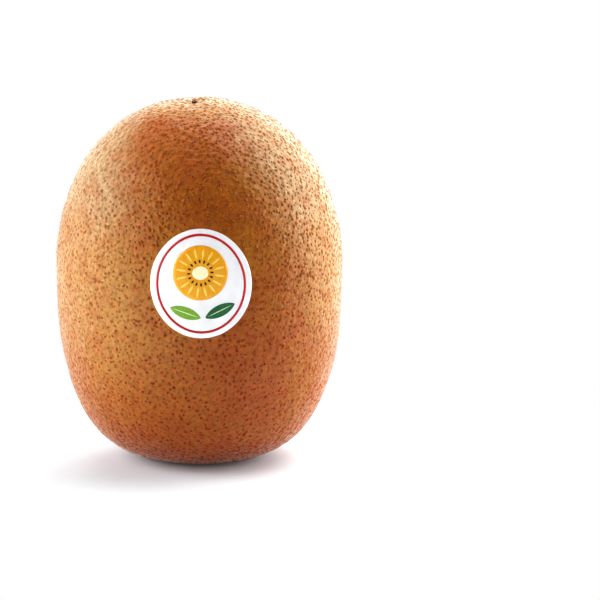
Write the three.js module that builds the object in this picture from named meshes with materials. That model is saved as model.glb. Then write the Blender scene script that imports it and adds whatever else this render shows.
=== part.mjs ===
// A golden kiwi fruit standing on its stalk end, with an oval paper label stuck to its front.
//
// Two separate pieces. The fruit grew as one body: the scar of the stalk is sunk in its foot and
// the dry scar of the flower in its top. The label is a thin plate that follows the skin.
//
// Units are millimetres and +Z is up. The origin is on the surface that the fruit stands on,
// under its middle. The label faces -Y, and the fruit is broadest across X.

import * as THREE from "three";

// ---- Driving dimensions of the fruit ----

const FRUIT_LENGTH = 71.8; // stalk end to blossom end
const FRUIT_WIDTH = 56.7; // across X, the broad way
const FRUIT_DEPTH = 53; // across Y, because a kiwi is slightly flattened
const WAIST_HEIGHT = 38.1; // where the fruit is widest, above the surface
const FOOT_RADIUS = 8; // the small flat spot that it stands on

// How square each half is: 2 and 2 would be a plain ellipse, and more is blunter.
const BLOSSOM_HALF = { across: 2.18, along: 2.14 };
const STALK_HALF = { across: 3.46, along: 2.39 };

// The blossom scar on top: a shallow pucker off the middle, the dry stub of the flower in it,
// and round it a rim that stands a little higher on one side than on the other.
const PUCKER = { x: -0.8, y: -1.1, reach: 3, depth: 0.4 };
const STUB = { reach: 1.2, height: 0.35 };
const RIM = { radius: 4.6, reach: 4.6, height: 0.2, turn: 0.4 };

// The stalk scar underneath: a hollow inside the foot's ring, and the corky ring in it.
const HOLLOW = { reach: 5.4, depth: 1.6 };
const CORK_RING = { radius: 2.3, reach: 1.1, height: 0.55 };

// Slow swells of the skin round the fruit: how many, how high, where they start, how they twist.
const SWELLS = [
  { count: 2, height: 0.16, start: 0.7, twist: 1.1 },
  { count: 3, height: 0.14, start: 2.1, twist: -0.8 },
  { count: 5, height: 0.09, start: 4.0, twist: 0.6 },
];

const SIDES = 72; // facets round the fruit
const RINGS = 56; // facets from end to end
const END_CROWDING = 0.72; // how far the rings crowd towards the two scars, from 0 to 1

// ---- Driving dimensions of the label ----

const LABEL_WIDTH = 19.9; // measured along the skin
const LABEL_HEIGHT = 21.2;
const LABEL_THICKNESS = 0.3;
const LABEL_GAP = 0.06; // to the skin, so that the two faceted solids never cross
const LABEL_MIDDLE = { across: 1.1, up: 40 }; // its centre, from the axis and the surface
const LABEL_LEAN = THREE.MathUtils.degToRad(3); // its top leans this far towards -X
const LABEL_SIDES = 44; // facets round its edge
const LABEL_RINGS = 6; // facets from its middle to its edge

// ---- The fruit's form ----

const { abs, cos, sin, max, PI } = Math;

/** The bigger half-width, and how much narrower the fruit is front to back. */
const WAIST_RADIUS = FRUIT_WIDTH / 2;
const FLATTENING = FRUIT_DEPTH / FRUIT_WIDTH;

/** How far the stalk end would bulge below the surface if it had no flat spot. */
const FOOT_BULGE = (() => {
  const share = (FOOT_RADIUS / WAIST_RADIUS) ** STALK_HALF.across;
  return WAIST_HEIGHT * ((1 - share) ** (-1 / STALK_HALF.along) - 1);
})();

/** The half of the fruit above the waist or below it, and how far it reaches along the axis. */
function halfOf(isAbove) {
  return isAbove
    ? { ...BLOSSOM_HALF, reach: FRUIT_LENGTH - WAIST_HEIGHT }
    : { ...STALK_HALF, reach: WAIST_HEIGHT + FOOT_BULGE };
}

/** The fruit's radius at a height: (radius / waist) ** across + (rise / reach) ** along = 1. */
function radiusAt(height) {
  const rise = height - WAIST_HEIGHT;
  const { across, along, reach } = halfOf(rise > 0);
  return WAIST_RADIUS * (1 - (abs(rise) / reach) ** along) ** (1 / across);
}

/** The same outline as a curve from the stalk end's pole to the blossom end's. */
class SideCurve extends THREE.Curve {
  getPoint(t, target = new THREE.Vector2()) {
    const isAbove = t > 0.5;
    const { across, along, reach } = halfOf(isAbove);
    const radius = WAIST_RADIUS * abs(sin(PI * t)) ** (2 / across);
    const rise = reach * abs(cos(PI * t)) ** (2 / along);
    return target.set(t === 0 || t === 1 ? 0 : radius, WAIST_HEIGHT + (isAbove ? rise : -rise));
  }
}

/** The side curve's points, closer together towards both ends, where the scars are. */
function sidePoints() {
  const curve = new SideCurve();
  curve.arcLengthDivisions = 4000;
  return Array.from({ length: RINGS + 1 }, (_, i) => {
    const share = i / RINGS;
    return curve.getPointAt(share - (END_CROWDING * sin(2 * PI * share)) / (2 * PI));
  });
}

/** A smooth hump: 1 in the middle, and exactly 0 from its reach outwards. */
function hump(distance, reach) {
  return max(1 - (distance / reach) ** 2, 0) ** 2;
}

/** What the slow swells add to the radius at a turn about Z and a height. They fade at the ends. */
function swell(turn, height) {
  const fade = sin(PI * THREE.MathUtils.clamp(height / FRUIT_LENGTH, 0, 1)) ** 2;
  const waves = SWELLS.map(({ count, height: rise, start, twist }) => {
    return rise * cos(count * turn + start + (twist * height) / WAIST_HEIGHT);
  });
  return fade * waves.reduce((sum, wave) => sum + wave, 0);
}

/** What the blossom scar adds to the height of the fruit's top. */
function blossomScar(x, y) {
  const fromScar = Math.hypot(x - PUCKER.x, y - PUCKER.y);
  const onRim = hump(Math.hypot(x, y) - RIM.radius, RIM.reach);
  const lean = cos(Math.atan2(y, x) - RIM.turn);
  return (
    RIM.height * lean * onRim -
    PUCKER.depth * hump(fromScar, PUCKER.reach) +
    STUB.height * hump(fromScar, STUB.reach)
  );
}

/** What the stalk scar adds to the height of the fruit's foot. */
function stalkScar(radius) {
  return (
    HOLLOW.depth * hump(radius, HOLLOW.reach) -
    CORK_RING.height * hump(radius - CORK_RING.radius, CORK_RING.reach)
  );
}

/** A point at a turn about Z, a radius before the swells and a height. */
function bodyPoint(turn, radius, height) {
  const fromAxis = radius + swell(turn, height);
  return new THREE.Vector3(fromAxis * cos(turn), fromAxis * sin(turn) * FLATTENING, height);
}

/** Moves every vertex of a geometry to where a function of its position puts it. */
function reshape(geometry, place) {
  const position = geometry.getAttribute("position");
  const point = new THREE.Vector3();
  for (let i = 0; i < position.count; i += 1) {
    point.fromBufferAttribute(position, i);
    position.setXYZ(i, ...place(point).toArray());
  }
  geometry.computeVertexNormals();
  return geometry;
}

/** The fruit: a turned body, flattened front to back, swollen, scarred at both ends, flat under. */
function fruitGeometry() {
  const turned = new THREE.LatheGeometry(sidePoints(), SIDES).rotateX(PI / 2);
  return reshape(turned, ({ x, y, z }) => {
    const radius = Math.hypot(x, y);
    const point = bodyPoint(Math.atan2(y, x), radius, max(z, 0));
    point.z += z > WAIST_HEIGHT ? blossomScar(point.x, point.y) : stalkScar(radius);
    return point;
  });
}

// ---- The label's form ----

/** A point of the skin between the two ends, at a turn about Z and a height. */
function skinPoint(turn, height) {
  return bodyPoint(turn, radiusAt(height), height);
}

/** The skin's outward direction there. */
function skinNormal(turn, height) {
  const step = 1e-3;
  const round = skinPoint(turn + step, height).sub(skinPoint(turn - step, height));
  const upward = skinPoint(turn, height + step).sub(skinPoint(turn, height - step));
  return round.cross(upward).normalize();
}

/** The label: a thin round plate, drawn out to an oval, leaned over and laid on the skin. */
function labelGeometry() {
  const steps = Array.from({ length: LABEL_RINGS + 1 }, (_, i) => i / LABEL_RINGS);
  const under = steps.map((step) => new THREE.Vector2(step, LABEL_GAP));
  const face = steps.map((step) => new THREE.Vector2(step, LABEL_GAP + LABEL_THICKNESS));
  const plate = new THREE.LatheGeometry([...under, ...face.reverse()], LABEL_SIDES);
  const bend = radiusAt(LABEL_MIDDLE.up);
  const front = -PI / 2;
  return reshape(plate, ({ x, y: lift, z }) => {
    const flat = new THREE.Vector2((x * LABEL_WIDTH) / 2, (-z * LABEL_HEIGHT) / 2);
    flat.rotateAround(new THREE.Vector2(), LABEL_LEAN);
    const turn = front + (LABEL_MIDDLE.across + flat.x) / bend;
    const height = LABEL_MIDDLE.up + flat.y;
    return skinPoint(turn, height).addScaledVector(skinNormal(turn, height), lift);
  });
}

// ---- The scene graph ----

/** A named mesh with a material of its own. */
function piece(name, geometry, look) {
  const mesh = new THREE.Mesh(geometry, new THREE.MeshStandardMaterial(look));
  mesh.name = name;
  return mesh;
}

const kiwi = new THREE.Group();
kiwi.add(
  piece("fruit", fruitGeometry(), { color: 0xa9703a, roughness: 0.55, metalness: 0 }),
  piece("label", labelGeometry(), { color: 0xf4f1ea, roughness: 0.35, metalness: 0 }),
);

export default kiwi;
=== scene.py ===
"""A whole golden kiwi fruit with a plain printed label, standing on a pale studio floor.

The fruit's body is one formula, and every piece is laid on the surface that it gives: the skin,
the lenticels, the label and its print, and the scars at the two ends. Lengths in the classes are
in millimetres, and the meshes are in metres.
"""

import logging
import math
from dataclasses import dataclass
from enum import Enum
from typing import Any

import bpy
import numpy as np
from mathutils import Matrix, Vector


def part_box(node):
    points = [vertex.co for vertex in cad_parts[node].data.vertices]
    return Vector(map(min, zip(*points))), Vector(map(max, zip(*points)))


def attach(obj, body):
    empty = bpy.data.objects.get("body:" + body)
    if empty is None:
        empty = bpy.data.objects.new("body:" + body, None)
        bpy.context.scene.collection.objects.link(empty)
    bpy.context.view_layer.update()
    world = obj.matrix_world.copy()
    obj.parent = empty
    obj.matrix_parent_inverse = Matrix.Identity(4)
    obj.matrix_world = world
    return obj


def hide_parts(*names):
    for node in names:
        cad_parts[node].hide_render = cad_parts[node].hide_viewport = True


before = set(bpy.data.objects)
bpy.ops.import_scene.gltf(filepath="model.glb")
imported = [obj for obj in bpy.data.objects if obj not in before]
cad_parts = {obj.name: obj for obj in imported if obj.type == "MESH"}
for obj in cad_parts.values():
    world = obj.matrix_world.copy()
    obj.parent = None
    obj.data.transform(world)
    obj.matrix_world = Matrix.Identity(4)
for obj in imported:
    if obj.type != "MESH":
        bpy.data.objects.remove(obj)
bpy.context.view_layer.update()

LOG = logging.getLogger("golden_kiwi")
Array = np.ndarray
Material = bpy.types.Material
Tree = bpy.types.NodeTree
Socket = bpy.types.NodeSocket
Colour = tuple[float, float, float, float]  # linear red, green, blue and alpha
Layer = tuple[Socket, Socket | Colour]  # how much of a colour there is, and the colour

MM = 0.001  # one millimetre in metres
TURN = 2 * math.pi
FRONT = -math.pi / 2  # the turn about Z that faces -Y
GOLDEN_ANGLE = math.pi * (3 - math.sqrt(5))


# ---- Numbers and meshes ----


def hump(distance: Array, reach: float) -> Array:
    """A smooth hump: (1 - (distance / reach) squared) squared, and 0 from its reach outwards.

    Args:
        distance: how far from the hump's middle, in any unit.
        reach: how far the hump goes, in the same unit.

    Returns:
        Its height, 1 in the middle.
    """
    return np.clip(1 - (distance / reach) ** 2, 0, None) ** 2


def unit(vectors: Array) -> Array:
    """The same directions with length 1."""
    return vectors / np.linalg.norm(vectors, axis=-1, keepdims=True)


def grid_triangles(rows: int, sides: int, closes: bool = False) -> Array:
    """Triangles of a grid whose rows are rings, two for each cell.

    They face outwards if the rings turn counterclockwise about the way that the rows go.

    Args:
        rows: how many rings there are.
        sides: how many points a ring has.
        closes: whether the last ring joins the first.

    Returns:
        Corner numbers, three for each triangle.
    """
    row = np.arange(rows if closes else rows - 1)[:, None]
    side = np.arange(sides)[None, :]
    here = row * sides
    above = (row + 1) % rows * sides
    beside = (side + 1) % sides
    a, b, c, d = here + side, here + beside, above + beside, above + side
    halves = [np.stack([a, b, c], -1), np.stack([a, c, d], -1)]
    return np.concatenate([half.reshape(-1, 3) for half in halves])


def capped_triangles(rings: int, sides: int) -> Array:
    """Triangles of a closed surface: a first pole, some rings and a last pole, in that order.

    Args:
        rings: how many rings there are.
        sides: how many points a ring has.

    Returns:
        Corner numbers, three for each triangle.
    """
    side = np.arange(sides)
    beside = (side + 1) % sides
    last = 1 + (rings - 1) * sides
    first_pole = np.stack([np.zeros_like(side), 1 + beside, 1 + side], -1)
    last_pole = np.stack([np.full_like(side, last + sides), last + side, last + beside], -1)
    return np.concatenate([first_pole, 1 + grid_triangles(rings, sides), last_pole])


def capped_points(rings: Array) -> Array:
    """Rings of points with a pole added at each end, in the middle of the end ring.

    Args:
        rings: positions, as rings by sides by 3.

    Returns:
        Positions in the order that capped_triangles uses.
    """
    poles = rings[[0, -1]].mean(axis=1)
    return np.concatenate([poles[:1], rings.reshape(-1, 3), poles[1:]])


def repeated(triangles: Array, copies: int, points_each: int) -> Array:
    """The triangles of one shape, renumbered for copies of it that follow each other.

    Args:
        triangles: corner numbers of one copy, three for each triangle.
        copies: how many copies there are.
        points_each: how many points one copy has.

    Returns:
        Corner numbers, three for each triangle.
    """
    starts = np.arange(copies)[:, None, None] * points_each
    return (triangles[None] + starts).reshape(-1, 3)


def add_piece(
    name: str,
    points: Array,
    triangles: Array,
    material: Material,
    stands_for: tuple[str, ...] = (),
    values: dict[str, Array] | None = None,
) -> bpy.types.Object:
    """Makes a mesh object at the origin, smooth shaded, which rides on the one body.

    Args:
        name: the piece's name.
        points: positions in millimetres, in the frame of the solids.
        triangles: corner numbers, three for each triangle.
        material: its finish.
        stands_for: the nodes that the piece takes the place of.
        values: a number for each point, by attribute name, for the material to read.

    Returns:
        The new object.
    """
    mesh = bpy.data.meshes.new(name)
    mesh.vertices.add(len(points))
    mesh.vertices.foreach_set("co", (points * MM).astype(np.float32).ravel())
    mesh.loops.add(triangles.size)
    mesh.loops.foreach_set("vertex_index", triangles.astype(np.int32).ravel())
    mesh.polygons.add(len(triangles))
    mesh.polygons.foreach_set("loop_start", np.arange(0, triangles.size, 3, dtype=np.int32))
    mesh.polygons.foreach_set("use_smooth", np.ones(len(triangles), dtype=bool))
    for attribute_name, numbers in (values or {}).items():
        attribute = mesh.attributes.new(attribute_name, "FLOAT", "POINT")
        attribute.data.foreach_set("value", numbers.astype(np.float32).ravel())
    mesh.update(calc_edges=True)
    mesh.validate()
    mesh.materials.append(material)
    piece = bpy.data.objects.new(name, mesh)
    bpy.context.scene.collection.objects.link(piece)
    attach(piece, "root")
    if stands_for:
        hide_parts(*stands_for)
    LOG.info("%s: %d triangles", name, len(triangles))
    return piece


# ---- Materials ----


class Slot(Enum):
    """The record's material slots."""

    SKIN = "skin"
    LABEL = "label_paper"


class Easing(Enum):
    """How one number follows another between two ends: evenly, or with a soft start and stop."""

    EVEN = "LINEAR"
    SOFT = "SMOOTHSTEP"


def linear(colour: str) -> Colour:
    """Turns an sRGB colour into a linear one, by the standard's straight piece and power.

    Args:
        colour: a hex colour such as "#C08243".

    Returns:
        Linear red, green, blue and alpha.
    """
    shares = [int(colour[i : i + 2], 16) / 255 for i in (1, 3, 5)]
    parts = [s / 12.92 if s <= 0.04045 else ((s + 0.055) / 1.055) ** 2.4 for s in shares]
    return (*parts, 1.0)


def add_node(
    tree: Tree,
    kind: str,
    settings: dict[str, Any] | None = None,
    inputs: dict[str | int, Any] | None = None,
) -> bpy.types.Node:
    """Adds one shader node with its settings and links.

    Args:
        tree: the node tree that it goes in.
        kind: the node's type, without its "ShaderNode".
        settings: the node's own properties, by name.
        inputs: a value or another node's output for each socket, by the socket's name or number.

    Returns:
        The node.
    """
    node = tree.nodes.new("ShaderNode" + kind)
    for name, value in (settings or {}).items():
        setattr(node, name, value)
    for name, value in (inputs or {}).items():
        if isinstance(value, bpy.types.NodeSocket):
            tree.links.new(value, node.inputs[name])
        else:
            node.inputs[name].default_value = value
    return node


# A colour Mix node's sockets have numbers, because other sockets share their names.
FACTOR, FIRST, SECOND, MIXED = 0, 6, 7, 2


def new_material(name: str) -> tuple[Material, Tree]:
    """An empty material that uses nodes.

    Args:
        name: the real material that it stands for.

    Returns:
        The material and its node tree.
    """
    material = bpy.data.materials.new(name)
    material.use_nodes = True
    material.node_tree.nodes.clear()
    return material, material.node_tree


def per_mm(size: float) -> float:
    """The scale of a pattern on Object coordinates whose features measure so many millimetres."""
    return 1 / (size * MM)


@dataclass(frozen=True)
class Change:
    """A number that goes from first to last, while another one goes from start to end."""

    start: float
    end: float
    first: float = 0.0
    last: float = 1.0
    easing: Easing = Easing.SOFT

    def of(self, value: Socket, size: float = 1.0) -> tuple[dict[str, str], dict[str, Any]]:
        """What a MapRange node needs to make the change.

        Args:
            value: the other number.
            size: the unit that start and end are in, such as MM.

        Returns:
            The node's settings and its inputs.
        """
        inputs = {
            "Value": value,
            "From Min": self.start * size,
            "From Max": self.end * size,
            "To Min": self.first,
            "To Max": self.last,
        }
        return {"interpolation_type": self.easing.value}, inputs


@dataclass(frozen=True)
class Mottling:
    """Cloudy noise with features of one size, and how its values are stretched.

    The noise lies about a half, and little of it is below 0.3 or above 0.7.
    """

    size_mm: float
    stretch: Change
    detail: float = 3.0

    def add(self, tree: Tree, place: Socket) -> Socket:
        """Adds the noise and its stretch.

        Args:
            tree: the material's nodes.
            place: the place on the object.

        Returns:
            The stretched value.
        """
        pattern = {"Vector": place, "Scale": per_mm(self.size_mm), "Detail": self.detail}
        noise = add_node(tree, "TexNoise", None, pattern).outputs[0]
        return add_node(tree, "MapRange", *self.stretch.of(noise)).outputs["Result"]


@dataclass(frozen=True)
class Grain:
    """Fine relief from noise: the size of its features, how deep they are and their detail."""

    size_mm: float
    depth_mm: float
    detail: float = 2.0

    def add(self, tree: Tree, place: Socket, under: Socket | None = None) -> Socket:
        """Adds the noise and the relief that it gives.

        Args:
            tree: the material's nodes.
            place: the place on the object.
            under: the direction of a coarser relief that this one lies on.

        Returns:
            The surface's direction.
        """
        pattern = {"Vector": place, "Scale": per_mm(self.size_mm), "Detail": self.detail}
        noise = add_node(tree, "TexNoise", None, pattern).outputs[0]
        relief = {"Height": noise, "Distance": self.depth_mm * MM}
        if under is not None:
            relief["Normal"] = under
        return add_node(tree, "Bump", None, relief).outputs["Normal"]


@dataclass(frozen=True)
class Blush:
    """A soft russet spot on the skin: its middle, and how it fades with the distance from it."""

    middle_mm: tuple[float, float, float]
    fading_mm: Change

    def add(self, tree: Tree, place: Socket) -> Socket:
        """Adds the distance from the spot's middle and the strength that it gives.

        Args:
            tree: the material's nodes.
            place: the place on the object.

        Returns:
            How much of the blush there is.
        """
        ends = {0: place, 1: tuple(part * MM for part in self.middle_mm)}
        away = add_node(tree, "VectorMath", {"operation": "DISTANCE"}, ends).outputs["Value"]
        return add_node(tree, "MapRange", *self.fading_mm.of(away, MM)).outputs["Result"]


@dataclass(frozen=True)
class KiwiSkin:
    """Golden kiwi skin: a thin corky skin, grown hairless and left unwaxed.

    It gives the eye a satin golden brown that is mottled with yellow and russet, with a dark dot
    at each lenticel. It is paler on the flanks, which is painted light: it stands in for side
    light and for sheen on skin seen on edge, and higher up it turns to a greyer painted sheen. It
    is darker towards the back, which is painted shade, and redder towards the stalk and in two
    blushes. Near the foot it is darker still: a darker stalk end, and painted shade where the
    fruit stands on the floor. A down that is too short to see as hairs lights up where the skin is
    seen on edge, as sheen. The front can be rubbed smoother than the rest. Numbers that end in mm
    are millimetres, and the others are shares or shader values.
    """

    name: str = "kiwi_skin_satin"
    golden: str = "#AC7616"
    # Straw is the crown's colour, and the colour of painted light on the flanks.
    straw: str = "#B3874A"
    brown: str = "#A56013"
    russet: str = "#A25411"
    fleck: str = "#8F3612"
    lenticel: str = "#8A2B03"
    # The greyer colour of painted sheen on the upper flanks.
    painted_sheen: str = "#B5996F"
    golden_patches: Mottling = Mottling(11.0, Change(0.38, 0.66, last=0.6))
    russet_mottling: Mottling = Mottling(3.5, Change(0.42, 0.75, last=0.4))
    flecks: Mottling = Mottling(1.5, Change(0.60, 0.74, last=0.55))
    clouds: Mottling = Mottling(0.75, Change(0.3, 0.7, 0.84, 1.16))
    freckle_mm: float = 1.05
    freckle_edge: Change = Change(0.26, 0.12)
    freckle_depth: Change = Change(0.35, 1.0, last=0.55, easing=Easing.EVEN)
    # Painted light: paler flanks away from a leaned front, standing in for side light and sheen
    # seen on edge.
    front_lean: float = 0.4
    front_level_mm: float = 58.0
    painted_light_bearing: Change = Change(0.97, 0.62)
    # Painted shade: the colour darkens towards the back, down to half its value.
    back_painted_shade_mm: Change = Change(-12.0, 17.0, 1.0, 0.5)
    painted_light_heights_mm: Change = Change(10.0, 38.0, last=0.85)
    painted_sheen_heights_mm: Change = Change(44.0, 62.0)
    crown_heights_mm: Change = Change(68.5, 71.0, last=0.7)
    foot_heights_mm: Change = Change(26.0, 0.0, last=0.9)
    # Darker near the foot: a darker stalk end, and painted shade where the fruit stands on the
    # floor.
    foot_shade_heights_mm: Change = Change(9.0, 0.0, last=0.6)
    blushes: tuple[Blush, ...] = (
        Blush((-3.0, -14.0, 67.5), Change(19.0, 5.0, last=0.45)),
        Blush((10.0, -22.0, 24.0), Change(17.0, 4.0, last=0.75)),
    )
    bumps: Grain = Grain(0.95, 0.24, 1.0)
    cork_cells: Grain = Grain(0.33, 0.03)
    satin: Mottling = Mottling(3.5, Change(0.35, 0.65, 0.40, 0.54))
    rubbed_mm: Change = Change(-24.5, -18.0, 1.0)
    ior: float = 1.45
    gloss: float = 0.45
    down: float = 0.55
    down_roughness: float = 0.4
    down_colour: str = "#FFEBDD"

    def build(self) -> Material:
        """Makes the material, which reads the attribute "pigment" for the lenticels.

        Returns:
            The material.
        """
        material, tree = new_material(self.name)
        place = add_node(tree, "TexCoord").outputs["Object"]
        colour = linear(self.brown)
        for share, over in self._layers(tree, place):
            mix = {FACTOR: share, FIRST: colour, SECOND: over}
            colour = add_node(tree, "Mix", {"data_type": "RGBA"}, mix).outputs[MIXED]
        # Painted shade towards the back, times random clouds of tone.
        value = self._front_to_back(tree, place, self.back_painted_shade_mm, self.clouds)
        shaded = add_node(tree, "HueSaturation", None, {"Color": colour, "Value": value})
        shader = add_node(
            tree,
            "BsdfPrincipled",
            None,
            {
                "Base Color": shaded.outputs[0],
                "Roughness": self._front_to_back(tree, place, self.rubbed_mm, self.satin),
                "Normal": self.cork_cells.add(tree, place, self.bumps.add(tree, place)),
                "IOR": self.ior,
                "Specular IOR Level": self.gloss,
                "Sheen Weight": self.down,
                "Sheen Roughness": self.down_roughness,
                "Sheen Tint": linear(self.down_colour),
            },
        )
        add_node(tree, "OutputMaterial", None, {"Surface": shader.outputs["BSDF"]})
        return material

    def _layers(self, tree: Tree, place: Socket) -> list[Layer]:
        """The colours over the brown ground, from the lowest to the topmost.

        They are golden patches, the paler flanks of painted light, russet, the crown round the
        flower's scar, the darker foot (a darker stalk end and painted shade), flecks, freckles, and
        the lenticels themselves.

        Args:
            tree: the material's nodes.
            place: the place on the object.

        Returns:
            For each colour how much of it there is, and the colour.
        """
        height = add_node(tree, "SeparateXYZ", None, {"Vector": place}).outputs["Z"]
        crown, foot_shade = [
            add_node(tree, "MapRange", *change.of(height, MM)).outputs["Result"]
            for change in (self.crown_heights_mm, self.foot_shade_heights_mm)
        ]
        pigment = add_node(tree, "Attribute", {"attribute_name": "pigment"}).outputs["Fac"]
        return [
            (self.golden_patches.add(tree, place), linear(self.golden)),
            self._painted_light_flanks(tree, place, height),
            (self._redness(tree, place, height), linear(self.russet)),
            (crown, linear(self.straw)),
            # Painted shade at the foot, over a darker stalk end.
            (foot_shade, linear(self.fleck)),
            (self.flecks.add(tree, place), linear(self.fleck)),
            (self._freckles(tree, place), linear(self.lenticel)),
            (pigment, linear(self.lenticel)),
        ]

    def _painted_light_flanks(self, tree: Tree, place: Socket, height: Socket) -> Layer:
        """Painted light on the flanks: straw, turning to a greyer painted sheen higher up.

        Args:
            tree: the material's nodes.
            place: the place on the object.
            height: its height.

        Returns:
            How pale the skin is, and the colour that it turns to.
        """
        toward_front = self._front_bearing(tree, place)
        shade = add_node(tree, "MapRange", *self.painted_light_bearing.of(toward_front)).outputs["Result"]
        flank, above = [
            add_node(tree, "MapRange", *change.of(height, MM)).outputs["Result"]
            for change in (self.painted_light_heights_mm, self.painted_sheen_heights_mm)
        ]
        share = add_node(tree, "Math", {"operation": "MULTIPLY"}, {0: shade, 1: flank}).outputs[0]
        mix = {FACTOR: above, FIRST: linear(self.straw), SECOND: linear(self.painted_sheen)}
        return share, add_node(tree, "Mix", {"data_type": "RGBA"}, mix).outputs[MIXED]

    def _front_bearing(self, tree: Tree, place: Socket) -> Socket:
        """The cosine of the bearing from the front, which leans over higher up.

        The front faces -Y at one level, and above it its middle moves over by the lean times the
        rise. The skin is paler away from it, which is painted light.

        Args:
            tree: the material's nodes.
            place: the place on the object.

        Returns:
            The cosine, which is 1 in the middle of the front.
        """
        parts = add_node(tree, "SeparateXYZ", None, {"Vector": place}).outputs
        lean = {0: parts["Z"], 1: self.front_lean, 2: -self.front_lean * self.front_level_mm * MM}
        shift = add_node(tree, "Math", {"operation": "MULTIPLY_ADD"}, lean).outputs[0]
        across = add_node(tree, "Math", {"operation": "ADD"}, {0: parts["X"], 1: shift}).outputs[0]
        level = add_node(tree, "CombineXYZ", None, {"X": across, "Y": parts["Y"]}).outputs[0]
        bearing = add_node(tree, "VectorMath", {"operation": "NORMALIZE"}, {0: level}).outputs[0]
        ends = {0: bearing, 1: (0.0, -1.0, 0.0)}
        return add_node(tree, "VectorMath", {"operation": "DOT_PRODUCT"}, ends).outputs["Value"]

    def _redness(self, tree: Tree, place: Socket, height: Socket) -> Socket:
        """How russet the skin is: its mottling, plus what the foot and each blush add.

        Args:
            tree: the material's nodes.
            place: the place on the object.
            height: its height.

        Returns:
            The sum, which stays between 0 and 1.
        """
        redness = self.russet_mottling.add(tree, place)
        foot = add_node(tree, "MapRange", *self.foot_heights_mm.of(height, MM)).outputs["Result"]
        for more in (foot, *(blush.add(tree, place) for blush in self.blushes)):
            total = {0: redness, 1: more}
            added = add_node(tree, "Math", {"operation": "ADD", "use_clamp": True}, total)
            redness = added.outputs[0]
        return redness

    def _freckles(self, tree: Tree, place: Socket) -> Socket:
        """The faint freckles between the lenticels: a spot in each cell, some paler than others.

        Args:
            tree: the material's nodes.
            place: the place on the object.

        Returns:
            How dark the freckles are.
        """
        pattern = {"Vector": place, "Scale": per_mm(self.freckle_mm)}
        cells = add_node(tree, "TexVoronoi", None, pattern).outputs
        away = cells["Distance"]
        chance = add_node(tree, "SeparateColor", None, {"Color": cells["Color"]}).outputs["Red"]
        spot = add_node(tree, "MapRange", *self.freckle_edge.of(away)).outputs["Result"]
        depth = add_node(tree, "MapRange", *self.freckle_depth.of(chance)).outputs["Result"]
        return add_node(tree, "Math", {"operation": "MULTIPLY"}, {0: spot, 1: depth}).outputs[0]

    def _front_to_back(
        self, tree: Tree, place: Socket, change: Change, mottling: Mottling
    ) -> Socket:
        """Some mottling times a change from the front to the back.

        Args:
            tree: the material's nodes.
            place: the place on the object.
            change: the factor, by the distance behind the axis in millimetres.
            mottling: what it is a factor of.

        Returns:
            The product.
        """
        behind = add_node(tree, "SeparateXYZ", None, {"Vector": place}).outputs["Y"]
        factor = add_node(tree, "MapRange", *change.of(behind, MM)).outputs["Result"]
        both = {0: factor, 1: mottling.add(tree, place)}
        return add_node(tree, "Math", {"operation": "MULTIPLY"}, both).outputs[0]


@dataclass(frozen=True)
class PlainFinish:
    """A finish of one colour that noise makes lighter and darker, with a fine grain.

    Its uses are coated label paper, offset-printed ink, and the dry cork and stubs of the scars.
    """

    name: str
    colour: str
    shade: str
    mottling_mm: float
    grain: Grain
    roughness: float
    coat: float = 0.0
    coat_roughness: float = 0.25
    spread: Change = Change(0.35, 0.65, easing=Easing.EVEN)

    def build(self) -> Material:
        """Makes the material.

        Returns:
            The material.
        """
        material, tree = new_material(self.name)
        place = add_node(tree, "TexCoord").outputs["Object"]
        share = Mottling(self.mottling_mm, self.spread).add(tree, place)
        mix = {FACTOR: share, FIRST: linear(self.colour), SECOND: linear(self.shade)}
        shader = add_node(
            tree,
            "BsdfPrincipled",
            None,
            {
                "Base Color": add_node(tree, "Mix", {"data_type": "RGBA"}, mix).outputs[MIXED],
                "Roughness": self.roughness,
                "Coat Weight": self.coat,
                "Coat Roughness": self.coat_roughness,
                "Normal": self.grain.add(tree, place),
            },
        )
        add_node(tree, "OutputMaterial", None, {"Surface": shader.outputs["BSDF"]})
        return material


# The skin between the lenticels: satin and downy all over.
SKIN = KiwiSkin()

# The lenticels' cork: the skin's colours with less gloss and hardly any down, so that each dot
# stays dark on the flanks, and rubbed smooth on the front, where it glints.
LENTICEL_CORK = KiwiSkin(
    "kiwi_lenticel_cork",
    satin=Mottling(3.5, Change(0.35, 0.65, 0.55, 0.7)),
    rubbed_mm=Change(-24.5, -18.0, 0.28),
    gloss=0.24,
    down=0.05,
)

# Coated label paper, which has a soft gloss and a faint tooth.
LABEL_PAPER = PlainFinish(
    "label_paper_coated",
    "#F3F1F2",
    "#EDEAE9",
    mottling_mm=2.5,
    grain=Grain(0.3, 0.004),
    roughness=0.36,
    coat=0.15,
)

# Dry cork, where the stalk broke off: matt and pale brown with darker cracks.
STALK_CORK = PlainFinish(
    "stalk_scar_cork",
    "#9A7650",
    "#5E3F26",
    mottling_mm=0.7,
    grain=Grain(0.25, 0.06),
    roughness=0.8,
)

# The dried flower: shrivelled dark red-brown stubs with a dull surface.
DRIED_FLOWER = PlainFinish(
    "dried_flower_stub",
    "#7A3520",
    "#45190E",
    mottling_mm=0.4,
    grain=Grain(0.2, 0.04),
    roughness=0.7,
)


def printed_ink(name: str, colour: str, shade: str) -> PlainFinish:
    """Offset-printed ink on coated paper: flat and even, with the paper's soft gloss."""
    grain = Grain(0.3, 0.003)
    return PlainFinish(name, colour, shade, 0.5, grain, roughness=0.38, coat=0.15)


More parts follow.
